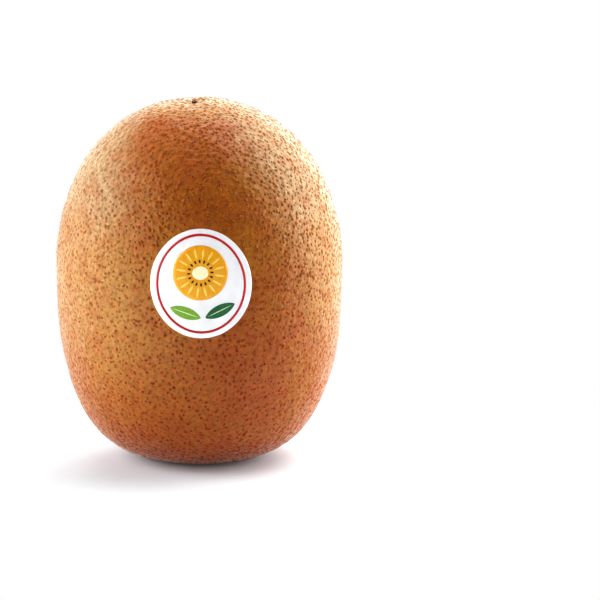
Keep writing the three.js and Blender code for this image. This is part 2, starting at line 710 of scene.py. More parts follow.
class Ink(Enum):
    """The inks of the label's design, each with its finish."""

    RED = printed_ink("ink_red", "#C4161C", "#B81218")
    GOLD = printed_ink("ink_gold", "#EDAF1E", "#E4A416")
    PALE = printed_ink("ink_pale_yellow", "#F7DA78", "#F2D26A")
    CREAM = printed_ink("ink_cream", "#FBF3D2", "#F6ECC4")
    BROWN = printed_ink("ink_dark_brown", "#33190E", "#29130A")
    LIGHT_GREEN = printed_ink("ink_light_green", "#86B23A", "#7CA832")
    DARK_GREEN = printed_ink("ink_dark_green", "#14703A", "#106432")


# ---- The fruit's form ----


@dataclass(frozen=True)
class HalfForm:
    """How square one half of the fruit's outline is: 2 and 2 is a plain ellipse."""

    across: float
    along: float


@dataclass(frozen=True)
class Swell:
    """A slow wave of the skin round the fruit, its heights in millimetres and angles in radians."""

    count: int
    height: float
    start: float
    twist: float


@dataclass(frozen=True)
class Ripples:
    """Uneven ground with lumps of one size: a sum of plane waves in random directions."""

    wavelength: float
    height: float
    seed: int
    waves: int = 24

    def at(self, points: Array) -> Array:
        """The height at some points, usually within twice the given height of 0.

        Each wave is the cosine of a direction times the place, plus a random start.

        Args:
            points: positions in millimetres.

        Returns:
            A height in millimetres for each point.
        """
        rng = np.random.default_rng(self.seed)
        directions = unit(rng.normal(size=(self.waves, 3)))
        starts = rng.uniform(0, TURN, self.waves)
        phases = points @ directions.T * (TURN / self.wavelength) + starts
        return self.height * math.sqrt(2 / self.waves) * np.cos(phases).sum(axis=-1)


@dataclass
class FruitForm:
    """The fruit's surface as a function of a turn about Z and a place along its side.

    The side's outline satisfies (radius / waist) ** across + (rise / reach) ** along = 1, with
    one pair of powers above the waist and another below it. The place along the side is 0 at the
    stalk end's pole, 0.5 at the waist and 1 at the blossom end's pole.
    """

    length: float = 71.8
    width: float = 56.7
    depth: float = 53.0
    waist_height: float = 38.1
    foot_radius: float = 8.0
    blossom_half: HalfForm = HalfForm(2.18, 2.14)
    stalk_half: HalfForm = HalfForm(3.46, 2.39)
    pucker_place: tuple[float, float] = (-0.8, -1.1)
    pucker_reach: float = 3.0
    pucker_depth: float = 0.4
    fold_count: int = 7
    fold_depth: float = 0.09
    fold_wander: float = 2.0
    fold_middle: float = 1.35
    fold_reach: float = 1.65
    rim_radius: float = 4.6
    rim_reach: float = 4.6
    rim_height: float = 0.2
    rim_turn: float = 0.4
    hollow_reach: float = 5.4
    hollow_depth: float = 1.6
    level_height: float = 3.0
    swells: tuple[Swell, ...] = (
        Swell(2, 0.16, 0.7, 1.1),
        Swell(3, 0.14, 2.1, -0.8),
        Swell(5, 0.09, 4.0, 0.6),
    )
    ground: tuple[Ripples, ...] = (
        Ripples(15.0, 0.05, 11),
        Ripples(5.5, 0.022, 12),
        Ripples(2.0, 0.014, 13),
    )
    table_size: int = 4001
    fit_turns: int = 145
    fit_places: int = 301
    step: float = 1e-4

    def __post_init__(self) -> None:
        """Measures the side once, so that places on it can be found by length, area or height."""
        self.scale = np.ones(3)
        self.shift = np.zeros(3)
        self.table = np.linspace(0, 1, self.table_size)
        radius, height = self.side(self.table)
        steps = np.hypot(np.diff(radius), np.diff(height))
        bands = steps * (radius[1:] + radius[:-1])
        self.lengths = np.concatenate([[0], np.cumsum(steps)])
        self.areas = np.concatenate([[0], np.cumsum(bands)])
        self.heights = height

    @property
    def waist(self) -> float:
        """The bigger half-width."""
        return self.width / 2

    def fit_to(self, low: Vector, high: Vector) -> None:
        """Stretches and shifts the form by a hair, so that its box is the solid's.

        Args:
            low: the lowest corner of the solid, in metres.
            high: its highest corner.
        """
        turns = np.linspace(0, TURN, self.fit_turns)
        places = np.linspace(0, 1, self.fit_places)[1:-1]
        points = self.smooth(*np.meshgrid(turns, places)).reshape(-1, 3)
        least = points.min(axis=0)
        wanted = np.array(low) / MM
        self.scale = (np.array(high) / MM - wanted) / (points.max(axis=0) - least)
        self.shift = wanted - least * self.scale
        LOG.info("form fitted to the solid: scale %s, shift %s mm", self.scale, self.shift)

    def side(self, place: Array) -> tuple[Array, Array]:
        """The outline: sine and cosine raised to powers, so that the formula above holds.

        Args:
            place: along the side, from 0 to 1.

        Returns:
            The radius and the height above the surface, before the foot is made flat.
        """
        above = place > 0.5
        foot_share = (self.foot_radius / self.waist) ** self.stalk_half.across
        foot_bulge = self.waist_height * ((1 - foot_share) ** (-1 / self.stalk_half.along) - 1)
        reach = np.where(above, self.length - self.waist_height, self.waist_height + foot_bulge)
        across = np.where(above, self.blossom_half.across, self.stalk_half.across)
        along = np.where(above, self.blossom_half.along, self.stalk_half.along)
        angle = math.pi * place
        radius = self.waist * np.abs(np.sin(angle)) ** (2 / across)
        rise = reach * np.abs(np.cos(angle)) ** (2 / along)
        return radius, self.waist_height + np.where(above, rise, -rise)

    def smooth(self, turn: Array, place: Array) -> Array:
        """The surface without the skin's fine ground: the solid's own form.

        Args:
            turn: about Z, in radians.
            place: along the side, from 0 to 1.

        Returns:
            Positions in millimetres.
        """
        radius, raw_height = self.side(place)
        height = np.clip(raw_height, 0, None)
        fade = np.sin(math.pi * np.clip(height / self.length, 0, 1)) ** 2
        waves = [
            s.height * np.cos(s.count * turn + s.start + s.twist * height / self.waist_height)
            for s in self.swells
        ]
        from_axis = radius + fade * sum(waves)
        x = from_axis * np.cos(turn)
        y = from_axis * np.sin(turn) * self.depth / self.width
        scars = np.where(place > 0.5, self._blossom_scar(x, y), self._stalk_hollow(radius))
        return np.stack([x, y, height + scars], -1) * self.scale + self.shift

    def _blossom_scar(self, x: Array, y: Array) -> Array:
        """The pucker off the top's middle, its radial folds and the uneven rim round it.

        The pucker and the rim are humps, and the rim leans by the cosine of its bearing. The
        folds are the cosine of a wandering multiple of the bearing.

        Args:
            x: millimetres from the axis, to the right.
            y: millimetres from the axis, to the back.

        Returns:
            What the scar adds to the height, in millimetres.
        """
        scar_x, scar_y = self.pucker_place
        from_scar = np.hypot(x - scar_x, y - scar_y)
        bearing = np.arctan2(y - scar_y, x - scar_x)
        lean = np.cos(np.arctan2(y, x) - self.rim_turn)
        rim = self.rim_height * lean * hump(np.hypot(x, y) - self.rim_radius, self.rim_reach)
        wander = self.fold_wander * np.sin(2 * bearing)
        folds = 0.5 * np.cos(self.fold_count * bearing + wander) - 0.5
        fold_zone = hump(from_scar - self.fold_middle, self.fold_reach)
        pucker = self.pucker_depth * hump(from_scar, self.pucker_reach)
        return rim - pucker + self.fold_depth * folds * fold_zone

    def _stalk_hollow(self, radius: Array) -> Array:
        """The hollow inside the ring that the fruit stands on."""
        return self.hollow_depth * hump(radius, self.hollow_reach)

    def normal(self, turn: Array, place: Array) -> Array:
        """The outward direction of the smooth surface, from two small steps along it.

        Args:
            turn: about Z, in radians.
            place: along the side, from 0 to 1.

        Returns:
            A direction of length 1 for each place.
        """
        round_it = self.smooth(turn + self.step, place) - self.smooth(turn - self.step, place)
        up_it = self.smooth(turn, place + self.step) - self.smooth(turn, place - self.step)
        return unit(np.cross(round_it, up_it))

    def point(self, turn: Array, place: Array, lift: Array | float = 0.0) -> Array:
        """The skin, with its fine ground, or a point lifted off it.

        The ground fades out below level_height, so that the foot stays flat.

        Args:
            turn: about Z, in radians.
            place: along the side, from 0 to 1.
            lift: how far off the skin, in millimetres.

        Returns:
            Positions in millimetres.
        """
        smooth = self.smooth(turn, place)
        fade = np.clip(smooth[..., 2] / self.level_height, 0, 1)
        rise = fade * sum(ripples.at(smooth) for ripples in self.ground) + lift
        return smooth + self.normal(turn, place) * rise[..., None]

    def place_at_length(self, share: Array) -> Array:
        """The place on the side where a share of its length is below."""
        return np.interp(share * self.lengths[-1], self.lengths, self.table)

    def place_at_area(self, share: Array) -> Array:
        """The place on the side where a share of the whole surface is below."""
        return np.interp(share * self.areas[-1], self.areas, self.table)

    def place_at_height(self, height: Array) -> Array:
        """The place on the side at a height in millimetres."""
        return np.interp(height, self.heights, self.table)


# ---- The label ----


@dataclass
class Label:
    """The fruit label: an oval of coated paper that follows the skin, with a printed design.

    The design is a stylised slice of fruit over two leaves, in a thin ring. Design coordinates
    are millimetres from the label's middle, right and up, and the sizes of the design's parts
    are half of each way across.
    """

    form: FruitForm
    width: float = 19.9
    height: float = 21.2
    lean: float = math.radians(3)
    gap: float = 0.02
    thickness: float = 0.11
    edge_rounding: float = 0.0015
    curl: float = 0.05
    curl_turn: float = math.radians(-35)
    curl_power: int = 8
    rings: int = 34
    spokes: int = 144
    ink_gap: float = 0.012
    ink_thickness: float = 0.012
    ink_step: float = 0.009
    border_size: tuple[float, float] = (8.75, 9.65)
    border_breadth: float = 0.45
    slice_middle: tuple[float, float] = (0.0, 2.2)
    slice_size: tuple[float, float] = (5.3, 5.3)
    core_size: tuple[float, float] = (1.55, 1.3)
    ray_count: int = 16
    ray_size: tuple[float, float] = (1.05, 0.2)
    ray_distance: float = 3.75
    seed_size: tuple[float, float] = (0.36, 0.17)
    seed_distance: float = 2.25
    leaf_middle: tuple[float, float] = (3.35, -5.4)
    leaf_lean: float = math.radians(22)
    leaf_size: tuple[float, float] = (3.1, 1.15)
    rib_size: tuple[float, float] = (2.5, 0.07)

    def __post_init__(self) -> None:
        """Takes the label's middle from the solid's box."""
        low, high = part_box("label")
        self.across = (low.x + high.x) / 2 / MM
        self.up = (low.z + high.z) / 2 / MM
        radius, _ = self.form.side(self.form.place_at_height(np.array(self.up)))
        self.bend = float(radius)

    def on_skin(self, flat: Array, lift: Array | float) -> Array:
        """Lays design coordinates on the skin: leaned over, then wrapped round the fruit.

        Args:
            flat: millimetres right and up from the label's middle, before it leans.
            lift: how far off the skin, in millimetres.

        Returns:
            Positions in millimetres.
        """
        x, y = flat[..., 0], flat[..., 1]
        right = x * math.cos(self.lean) - y * math.sin(self.lean)
        upward = x * math.sin(self.lean) + y * math.cos(self.lean)
        turn = FRONT + (self.across + right) / self.bend
        place = self.form.place_at_height(self.up + upward)
        return self.form.point(turn, place, lift + self._edge_lift(x, y))

    def _edge_lift(self, x: Array, y: Array) -> Array:
        """How far the paper has come off the skin: most at the edge, and on one side of it.

        It grows with a high power of the distance from the middle.

        Args:
            x: millimetres to the right of the label's middle.
            y: millimetres above it.

        Returns:
            The lift in millimetres.
        """
        from_middle = np.hypot(2 * x / self.width, 2 * y / self.height)
        side = 0.5 + 0.5 * np.cos(np.arctan2(y, x) - self.curl_turn)
        return self.curl * side * np.clip(from_middle, 0, 1) ** self.curl_power

    def covers(self, turn: Array, height: Array, margin: float) -> Array:
        """Whether the label, grown by a margin, lies over some places of the skin.

        Args:
            turn: about Z, in radians.
            height: above the surface, in millimetres.
            margin: in millimetres.

        Returns:
            True or False for each place.
        """
        wrapped = (turn - FRONT + math.pi) % TURN - math.pi
        right = wrapped * self.bend - self.across
        upward = height - self.up
        x = right * math.cos(self.lean) + upward * math.sin(self.lean)
        y = upward * math.cos(self.lean) - right * math.sin(self.lean)
        return np.hypot(x / (self.width / 2 + margin), y / (self.height / 2 + margin)) < 1

    def build(self) -> None:
        """Makes the paper and then the print, one ink at a time."""
        self._paper()
        top = self.gap + self.thickness + self.ink_gap
        for ink, layer, patches in self._design():
            self._print(ink, top + layer * self.ink_step, patches)

    def _paper(self) -> None:
        """The paper: an oval plate whose edge is rounded, from its underside to its face."""
        inward = np.linspace(0, 1, self.rings)[1:]
        edge = 1 - self.edge_rounding * np.array([1.0, 0.0, 1.0])
        shares = np.concatenate([inward[:-1], edge, inward[:-1][::-1]])
        heights = np.interp(np.arange(len(shares)), [self.rings - 2, self.rings], [0.0, 1.0])
        angles = np.linspace(0, TURN, self.spokes, endpoint=False)
        outline = np.stack([self.width / 2 * np.cos(angles), self.height / 2 * np.sin(angles)], -1)
        flat = shares[:, None, None] * outline
        lift = self.gap + self.thickness * heights[:, None] + np.zeros(self.spokes)
        points = capped_points(self.on_skin(flat, lift))
        triangles = capped_triangles(len(shares), self.spokes)
        paper = LABEL_PAPER.build()
        add_piece("label_paper", points, triangles, paper, ("label",))

    def _print(self, ink: Ink, lift: float, patches: list[Array]) -> None:
        """Lays patches of one ink on the paper, as thin plates joined in one piece.

        Args:
            ink: which ink.
            lift: of the ink's underside off the skin, in millimetres.
            patches: design coordinates of each patch, as rings by sides by 2.
        """
        points: list[Array] = []
        triangles: list[Array] = []
        start = 0
        for flat in patches:
            rows, sides = flat.shape[:2]
            both = np.concatenate([flat, flat[::-1]])
            is_face = np.arange(2 * rows) >= rows
            lifts = lift + self.ink_thickness * is_face[:, None] + np.zeros(sides)
            laid = self.on_skin(both, lifts)
            if np.allclose(flat[0], flat[0, 0], atol=FILLED_WITHIN):
                points.append(capped_points(laid))
                triangles.append(start + capped_triangles(2 * rows, sides))
            else:
                points.append(laid.reshape(-1, 3))
                triangles.append(start + grid_triangles(2 * rows, sides, closes=True))
            start += len(points[-1])
        name = "label_print_" + ink.name.lower()
        finish = ink.value.build()
        add_piece(name, np.concatenate(points), np.concatenate(triangles), finish)

    def _design(self) -> list[tuple[Ink, int, list[Array]]]:
        """The design: a border, a slice with its rays, core and seeds, and two ribbed leaves.

        Returns:
            For each ink, the layer that it lies in and its patches.
        """
        spacing = TURN / self.ray_count
        bearings = np.arange(self.ray_count) * spacing
        middle = self.slice_middle
        rays = [blade(self.ray_size, b + spacing / 2, middle, self.ray_distance) for b in bearings]
        seeds = [blade(self.seed_size, b, middle, self.seed_distance) for b in bearings]
        x, y = self.leaf_middle
        right = (self.leaf_lean, (x, y))
        left = (math.pi - self.leaf_lean, (-x, y))
        ribs = [blade(self.rib_size, *side) for side in (left, right)]
        return [
            (Ink.RED, 0, [band(self.border_size, self.border_breadth)]),
            (Ink.GOLD, 0, [oval(self.slice_size, middle)]),
            (Ink.PALE, 1, rays),
            (Ink.CREAM, 1, [oval(self.core_size, middle), *ribs]),
            (Ink.BROWN, 2, seeds),
            (Ink.LIGHT_GREEN, 0, [blade(self.leaf_size, *left)]),
            (Ink.DARK_GREEN, 0, [blade(self.leaf_size, *right)]),
        ]


# How many points a ring of each kind of patch has.
OVAL_SIDES, BAND_SIDES, BLADE_SIDES = 72, 180, 40

# How far out each ring of a filled patch is. The first is so small that a pole closes it, and
# a patch whose first ring is smaller than FILLED_WITHIN millimetres is a filled one.
PATCH_RINGS = np.append(0.0005, np.linspace(0, 1, 13)[1:])[:, None, None]
FILLED_WITHIN = 0.01


def oval(size: tuple[float, float], middle: tuple[float, float]) -> Array:
    """A filled oval, as rings that grow from its middle to its edge.

    Args:
        size: half of its width and of its height, in millimetres.
        middle: in design coordinates.

    Returns:
        Design coordinates, as rings by sides by 2.
    """
    angles = np.linspace(0, TURN, OVAL_SIDES, endpoint=False)
    outline = np.stack([np.cos(angles), np.sin(angles)], -1) * size
    return np.array(middle) + PATCH_RINGS * outline


def band(size: tuple[float, float], breadth: float) -> Array:
    """An oval ring round the label's middle, as rings from its inner edge to its outer edge.

    Args:
        size: half of its width and of its height, in millimetres.
        breadth: in millimetres.

    Returns:
        Design coordinates, as rings by sides by 2.
    """
    angles = np.linspace(0, TURN, BAND_SIDES, endpoint=False)
    outline = np.stack([np.cos(angles), np.sin(angles)], -1)
    inset = np.array([breadth, breadth / 2, 0.0])[:, None, None]
    return outline * (np.array(size) - inset)


def blade(
    size: tuple[float, float],
    bearing: float,
    middle: tuple[float, float],
    distance: float = 0.0,
) -> Array:
    """A leaf-shaped patch with two points: half-width times sine times the root of its size.

    Args:
        size: half of its length and of its width, in millimetres.
        bearing: the way that it points, in radians from the right.
        middle: its middle in design coordinates, before it is moved out.
        distance: how far it is moved out, along the bearing.

    Returns:
        Design coordinates, as rings by sides by 2.
    """
    half_length, half_width = size
    angles = np.linspace(0, TURN, BLADE_SIDES, endpoint=False)
    cosine = math.cos(bearing)
    sine = math.sin(bearing)
    along = half_length * np.cos(angles)
    side = half_width * np.sin(angles) * np.sqrt(np.abs(np.sin(angles)))
    turned = np.stack([along * cosine - side * sine, along * sine + side * cosine], -1)
    outwards = distance * np.array([cosine, sine])
    return np.array(middle) + outwards + PATCH_RINGS * turned


# ---- The skin and what grows on it ----


@dataclass
class Skin:
    """The fruit's skin, from the stalk end's pole to the blossom end's."""

    form: FruitForm
    sides: int = 436
    rings: int = 226
    crowding: float = 0.6

    def build(self) -> None:
        """Makes the skin as rings that lie closer together towards both ends."""
        share = np.arange(1, self.rings) / self.rings
        crowded = share - self.crowding * np.sin(TURN * share) / TURN
        turn = np.linspace(0, TURN, self.sides, endpoint=False)
        turns, places = np.meshgrid(turn, self.form.place_at_length(crowded))
        points = capped_points(self.form.point(turns, places))
        triangles = capped_triangles(self.rings - 1, self.sides)
        add_piece("fruit_skin", points, triangles, SKIN.build(), ("fruit",))


@dataclass
class Lenticels:
    """The small corky pores that dot the skin, each a low dome with a dark middle.

    They stand up more on the upper half of the fruit and are darker on the lower half. They are
    higher on the front and the back than on the flanks, and lowest on the left flank. They are
    darker on the front and the back and fainter on the flanks, which is painted sheen: the pale
    veil of skin seen on edge.
    A span holds the values that one quantity is read at, and a rise or a strength the factors
    that it gives there.
    """

    form: FruitForm
    label: Label
    count: int = 12800
    seed: int = 5
    scatter: float = 0.3
    end_clearance: float = 0.01
    least_height: float = 0.7
    scar_clearance: float = 1.6
    label_clearance: float = 0.56
    size_odds: tuple[float, float] = (1.6, 1.8)
    sized_tone: float = 0.45
    free_tone: float = 0.75
    least_radius: float = 0.18
    most_radius: float = 0.40
    lower_rise: float = 0.2
    upper_rise: float = 0.46
    upper_growth: float = 1.15
    rising_heights: tuple[float, float] = (24.0, 46.0)
    back_share: float = 0.8
    slope_share: float = 0.65
    facing_span: tuple[float, ...] = (0.25, 0.7, 0.9, 0.97)
    facing_rise: tuple[float, ...] = (0.4, 0.95, 1.2, 1.5)
    turned_span: tuple[float, ...] = (-0.4, -0.1)
    turned_rise: tuple[float, ...] = (0.6, 1.0)
    # Darker on the front and the back, fainter on the flanks: painted sheen of skin seen on edge.
    lower_strength: tuple[float, ...] = (0.5, 0.85, 1.1, 1.12)
    upper_strength: tuple[float, ...] = (0.3, 0.44, 0.56, 0.66)
    sunk: float = 0.03
    sides: int = 7
    shoulder_share: float = 0.64
    shoulder_rise: float = 0.7
    stretch_odds: tuple[float, float] = (1.2, 0.1)
    unevenness: float = 0.08
    faintest: float = 0.16
    rarity: float = 1.6
    dome_tones: tuple[float, float, float] = (0.1, 0.85, 1.0)

    def build(self) -> None:
        """Spreads the lenticels over the skin and makes all the domes of each half at once.

        A dome is a ring a little under the skin, a shoulder ring inside it, and a top. The
        attribute "pigment" says how dark its finish is at each point.
        """
        turn, place, size, chance = self._spread()
        middle = self.form.point(turn, place)
        outward = self.form.normal(turn, place)
        above = np.interp(middle[:, 2], self.rising_heights, (0.0, 1.0))
        facing = self._facing(outward)
        radius = self.least_radius + (self.most_radius - self.least_radius) * size
        radius = radius * np.interp(above, (0.0, 1.0), (1.0, self.upper_growth))
        across = self._rims(outward, radius)
        rise = (radius * self._rise(above, facing, outward))[:, None, None] * outward[:, None]
        rim = middle[:, None] + across - self.sunk * outward[:, None]
        shoulder = middle[:, None] + self.shoulder_share * across + self.shoulder_rise * rise
        top = middle[:, None] + rise
        points = np.concatenate([rim, shoulder, top], axis=1)
        tones = np.repeat(self.dome_tones, [self.sides, self.sides, 1])
        pigment = self._strength(above, facing, chance)[:, None] * tones
        half = len(turn) // 2
        cork = LENTICEL_CORK.build()
        for name, part in (("lower", slice(half)), ("upper", slice(half, None))):
            domes = points[part]
            triangles = repeated(self._dome_triangles(), *domes.shape[:2])
            dark = {"pigment": pigment[part].ravel()}
            positions = domes.reshape(-1, 3)
            add_piece("lenticels_" + name, positions, triangles, cork, values=dark)

    def _dome_triangles(self) -> Array:
        """Triangles of one dome: its wall, and a fan from its shoulder ring to its top.

        Returns:
            Corner numbers, three for each triangle.
        """
        side = np.arange(self.sides)
        beside = (side + 1) % self.sides
        fan = [self.sides + side, self.sides + beside, np.full_like(side, 2 * self.sides)]
        return np.concatenate([grid_triangles(2, self.sides), np.stack(fan, -1)])

    def _facing(self, outward: Array) -> Array:
        """How squarely the skin faces the front, or a little less so the back.

        Args:
            outward: the skin's direction at each lenticel.

        Returns:
            The cosine of the bearing, with the slope counted in part.
        """
        bearing = unit(outward * np.array([1.0, 1.0, self.slope_share]))[:, 1]
        return np.maximum(-bearing, self.back_share * bearing)

    def _rise(self, above: Array, facing: Array, outward: Array) -> Array:
        """How high the domes are, as shares of their radius.

        Args:
            above: from 0 on the fruit's lower part to 1 on its upper part.
            facing: how squarely the skin faces the front.
            outward: the skin's direction at each lenticel.

        Returns:
            The product of three factors: of the height, the facing and the turn to one side.
        """
        by_height = np.interp(above, (0.0, 1.0), (self.lower_rise, self.upper_rise))
        by_facing = np.interp(facing, self.facing_span, self.facing_rise)
        return by_height * by_facing * np.interp(outward[:, 0], self.turned_span, self.turned_rise)

    def _strength(self, above: Array, facing: Array, chance: Array) -> Array:
        """How dark the domes are: mostly faint, with a few dark ones, by a power of chance.

        Args:
            above: from 0 on the fruit's lower part to 1 on its upper part.
            facing: how squarely the skin faces the front.
            chance: from 0 to 1.

        Returns:
            A strength for each dome, about 1 at most.
        """
        # The dots fade on the flanks: painted sheen.
        lower = np.interp(facing, self.facing_span, self.lower_strength)
        upper = np.interp(facing, self.facing_span, self.upper_strength)
        strength = self.faintest + (1 - self.faintest) * chance**self.rarity
        return strength * ((1 - above) * lower + above * upper)

    def _spread(self) -> tuple[Array, Array, Array, Array]:
        """Places the lenticels: each next one a golden angle round and an equal area up.

        Each is moved a little at random, and none is left in the hollow, on the flower's scar
        or under the label.

        Returns:
            For each lenticel its turn, its place along the side, its size from 0 to 1 and how
            dark it is, from 0 to 1.
        """
        rng = np.random.default_rng(self.seed)
        number = np.arange(self.count)
        place = self.form.place_at_area((number + 0.5) / self.count)
        radius, _ = self.form.side(place)
        spacing = math.sqrt(TURN * self.form.areas[-1] / 2 / self.count)
        away = rng.normal(0, self.scatter * spacing, (2, self.count))
        turn = number * GOLDEN_ANGLE + away[0] / np.maximum(radius, spacing)
        place = place + away[1] / self.form.lengths[-1]
        place = np.clip(place, self.end_clearance, 1 - self.end_clearance)
        size = rng.beta(*self.size_odds, self.count)
        free = rng.uniform(0, self.free_tone, self.count)
        chance = np.clip(self.sized_tone * size + free, 0, 1)
        radius, height = self.form.side(place)
        scar_x, scar_y = self.form.pucker_place
        from_scar = np.hypot(radius * np.cos(turn) - scar_x, radius * np.sin(turn) - scar_y)
        is_low = height < self.least_height
        is_on_scar = (place > 0.5) & (from_scar < self.scar_clearance)
        is_labelled = self.label.covers(turn, height, self.label_clearance)
        kept = ~(is_low | is_on_scar | is_labelled)
        return turn[kept], place[kept], size[kept], chance[kept]

    def _rims(self, outward: Array, radius: Array) -> Array:
        """The uneven outlines of the domes, some drawn out to an oval.

        Args:
            outward: the skin's direction at each lenticel.
            radius: of each dome, in millimetres.

        Returns:
            Millimetres from the middle of each dome, as domes by sides by 3.
        """
        count = len(radius)
        rng = np.random.default_rng(self.seed + 1)
        angles = np.linspace(0, TURN, self.sides, endpoint=False) + rng.uniform(0, TURN, (count, 1))
        stretch = 1 + rng.gamma(*self.stretch_odds, (count, 1))
        uneven = radius[:, None] * rng.normal(1, self.unevenness, (count, self.sides))
        x = uneven * stretch * np.cos(angles)
        y = uneven / np.sqrt(stretch) * np.sin(angles)
        lean = rng.uniform(0, TURN, (count, 1))
        sideways = unit(np.cross(np.array([0.0, 0.0, 1.0]), outward))
        upward = np.cross(outward, sideways)
        right = x * np.cos(lean) - y * np.sin(lean)
        up = x * np.sin(lean) + y * np.cos(lean)
        return right[..., None] * sideways[:, None] + up[..., None] * upward[:, None]


@dataclass
class BlossomScar:
    """What is left of the flower on the fruit's top: a dry patch with shrivelled stubs.

    A range holds the least and the most of a random number.
    """

    form: FruitForm
    patch_radius: float = 0.62
    root_share: float = 0.75
    stubs: int = 16
    stub_length: float = 1.05
    length_range: tuple[float, float] = (0.5, 1.1)
    tilt_range: tuple[float, float] = (0.2, 1.0)
    buried: float = 0.12
    bend: float = 1.3
    upright_rise: float = 1.1
    tilted_loss: float = 0.7
    stub_radius: float = 0.14
    thickness_range: tuple[float, float] = (0.7, 1.2)
    taper: float = 0.75
    sides: int = 7
    steps: int = 6
    seed: int = 21

    def build(self) -> None:
        """Makes the stubs as bent tapering tubes whose roots lie in a small round patch.

        A stub leans over more and more: outwards by the square of the way along, up by its sine.
        """
        scar_x, scar_y = self.form.pucker_place
        rng = np.random.default_rng(self.seed)
        bearing = rng.uniform(0, TURN, self.stubs)
        root = self.patch_radius * self.root_share * np.sqrt(rng.uniform(0, 1, self.stubs))
        length = self.stub_length * rng.uniform(*self.length_range, self.stubs)
        tilt = rng.uniform(*self.tilt_range, self.stubs)
        along = np.linspace(0, 1, self.steps)
        outward = root[:, None] + (length * tilt)[:, None] * along**2
        rise = length[:, None] * np.sin(along * self.bend)
        upward = rise * (self.upright_rise - self.tilted_loss * tilt)[:, None]
        x = scar_x + outward * np.cos(bearing)[:, None]
        y = scar_y + outward * np.sin(bearing)[:, None]
        centre = np.stack([x, y, self._ground_height() - self.buried + upward], -1)
        around = np.linspace(0, TURN, self.sides, endpoint=False)
        stoutness = rng.uniform(*self.thickness_range, (self.stubs, 1))
        thickness = self.stub_radius * (1 - self.taper * along) * stoutness
        ring = np.stack([np.cos(around), np.sin(around), np.zeros(self.sides)], -1)
        tubes = centre[:, :, None] + thickness[..., None, None] * ring
        points = np.concatenate([capped_points(tube) for tube in tubes])
        one = capped_triangles(self.steps, self.sides)
        triangles = repeated(one, self.stubs, self.steps * self.sides + 2)
        add_piece("blossom_stubs", points, triangles, DRIED_FLOWER.build())

    def _ground_height(self) -> float:
        """Finds the skin under the middle of the scar, by its distance from the axis.

        Returns:
            Its height in millimetres.
        """
        scar_x, scar_y = self.form.pucker_place
        radius, _ = self.form.side(self.form.table)
        upper = self.form.table > 0.5
        order = np.argsort(radius[upper])
        wanted = math.hypot(scar_x, scar_y)
        place = np.interp(wanted, radius[upper][order], self.form.table[upper][order])
        turn = math.atan2(scar_y, scar_x)
        return float(self.form.point(np.array(turn), np.array(place))[2])


@dataclass
class StalkScar:
    """The round corky scar in the hollow underneath, where the stalk broke off."""

    form: FruitForm
    radius: float = 3.0
    inmost_share: float = 0.02
    ring_radius: float = 2.2
    ring_reach: float = 1.0
    ring_height: float = 0.5
    crack_count: int = 11
    crack_depth: float = 0.16
    crack_wander: float = 1.5
    crack_power: int = 4
    crown: float = 0.08
    rooted: float = 0.4
    sides: int = 120
    rings: int = 30

    def build(self) -> None:
        """Makes the scar as a plate on the hollow's surface: a raised ring with radial cracks.

        The cracks are where the sine of a wandering multiple of the turn is nearly 0.
        """
        side_radius, _ = self.form.side(self.form.table)
        lower = self.form.table < 0.5
        shares = np.linspace(self.inmost_share, 1, self.rings)
        places = np.interp(shares * self.radius, side_radius[lower], self.form.table[lower])
        turn = np.linspace(0, TURN, self.sides, endpoint=False)
        turns, out = np.meshgrid(turn, shares * self.radius)
        wander = self.crack_wander * np.sin(3 * turns)
        cracks = np.abs(np.sin(0.5 * self.crack_count * turns + wander))
        cracked = hump(out - self.radius / 2, self.radius / 2)
        rise = self.ring_height * hump(out - self.ring_radius, self.ring_reach)
        rise = rise - self.crack_depth * (1 - cracks) ** self.crack_power * cracked
        rise = rise + self.crown * hump(out, self.radius)
        along = places[:, None] + np.zeros(self.sides)
        face = self.form.point(turns, along, rise)
        back = self.form.point(turns, along, -self.rooted)
        points = capped_points(np.concatenate([face, back[::-1]]))
        triangles = capped_triangles(2 * self.rings, self.sides)
        add_piece("stalk_scar", points, triangles, STALK_CORK.build())


# ---- The studio ----


def stand(
    name: str, data: bpy.types.ID, aim: Vector, azimuth: float, elevation: float, distance: float
) -> bpy.types.Object:
    """Stands a light or the camera where it faces a point.

    Args:
        name: the new object's name.
        data: the light or the camera.
        aim: the point, in metres.
        azimuth: degrees from the front of the fruit, towards its right.
        elevation: degrees above the level of the point.
        distance: from the point, in metres.

    Returns:
        The new object.
    """
    holder = bpy.data.objects.new(name, data)
    bpy.context.scene.collection.objects.link(holder)
    turn = math.radians(azimuth)
    rise = math.radians(elevation)
    level = math.cos(rise)
    away = Vector((math.sin(turn) * level, -math.cos(turn) * level, math.sin(rise)))
    holder.location = aim + away * distance
    holder.rotation_euler = away.to_track_quat("Z", "Y").to_euler()
    return holder


@dataclass(frozen=True)
class Softbox:
    """A soft light of the studio, which faces the fruit and isn't seen itself.

    Its angles are in degrees, its sizes in metres and its power in watts.
    """

    name: str
    azimuth: float
    elevation: float
    power: float
    colour: str = "#FFFFFF"
    distance: float = 0.8
    width: float = 0.6
    height: float = 0.5

    def build(self, aim: Vector) -> None:
        """Makes the light.

        Args:
            aim: the point that it faces, in metres.
        """
        light = bpy.data.lights.new(self.name, "AREA")
        light.shape = "RECTANGLE"
        light.size = self.width
        light.size_y = self.height
        light.energy = self.power
        light.color = linear(self.colour)[:3]
        holder = stand(self.name, light, aim, self.azimuth, self.elevation, self.distance)
        holder.visible_camera = False


